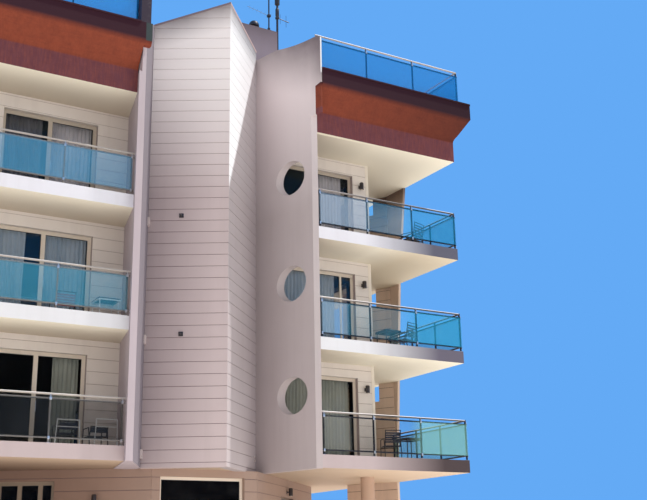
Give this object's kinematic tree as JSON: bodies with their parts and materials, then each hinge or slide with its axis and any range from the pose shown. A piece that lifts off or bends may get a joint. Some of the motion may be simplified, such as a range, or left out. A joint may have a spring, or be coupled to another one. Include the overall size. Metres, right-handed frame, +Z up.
{
  "type": "apartment block",
  "caption": "Flat-roofed apartment block with railed balconies on both sides of a boarded, prow-shaped stair tower, round-holed fin and sloping brown fascia.",
  "frame": {"origin": "middle of the plan box at ground level", "axes": "+X to the right along the balcony fronts, +Y from the balcony fronts to the rear, +Z up"},
  "size_m": [21.3213, 11.22, 18.7],
  "materials": {
    "wall": "board-lined render, matt",
    "ground_wall": "render, matt",
    "slab": "painted concrete, matt",
    "roof": "bare screed, matt",
    "tower": "board-lined render, matt",
    "fin": "render, matt",
    "porthole_fin": "render, matt",
    "screen": "brown render, matt",
    "fascia": "brown sheet, satin",
    "frame": "cream paint, satin",
    "pane": "clear, glossy",
    "rail": "dark paint, satin",
    "rail_glass": "blue tint, glossy",
    "mast": "weathered, satin"
  },
  "bodies": {
    "root": {"ground_slab": "roof", "ground_front_walls": "ground_wall", "ground_rear_walls": "ground_wall", "porch_columns": "ground_wall", "floor_1": "slab", "floor_2": "slab", "floor_3": "slab", "canopy_slab": "slab", "roof_deck": "roof", "front_wall_left": "wall", "front_wall_right": "wall", "side_wall": "wall", "rear_wall": "wall", "end_wall": "wall", "tower_left_wall": "tower", "tower_right_wall": "tower", "tower_roof": "roof", "left_fin": "fin", "porthole_fin": "porthole_fin", "end_screen": "screen", "fascia_left": "fascia", "fascia_right": "fascia", "fascia_rear": "fascia", "roof_cabin": "porthole_fin", "door_frames_1": "frame", "door_frames_2": "frame", "door_frames_3": "frame", "door_glass_1": "pane", "door_glass_2": "pane", "door_glass_3": "pane", "window_frames": "frame", "window_glass": "pane", "balcony_rails_1": "rail", "balcony_rails_2": "rail", "balcony_rails_3": "rail", "balcony_glass_1": "rail_glass", "balcony_glass_2": "rail_glass", "balcony_glass_3": "rail_glass", "roof_rails": "rail", "roof_rail_glass": "rail_glass", "roof_post": "fascia", "antenna_masts": "mast"}
  },
  "joints": []
}
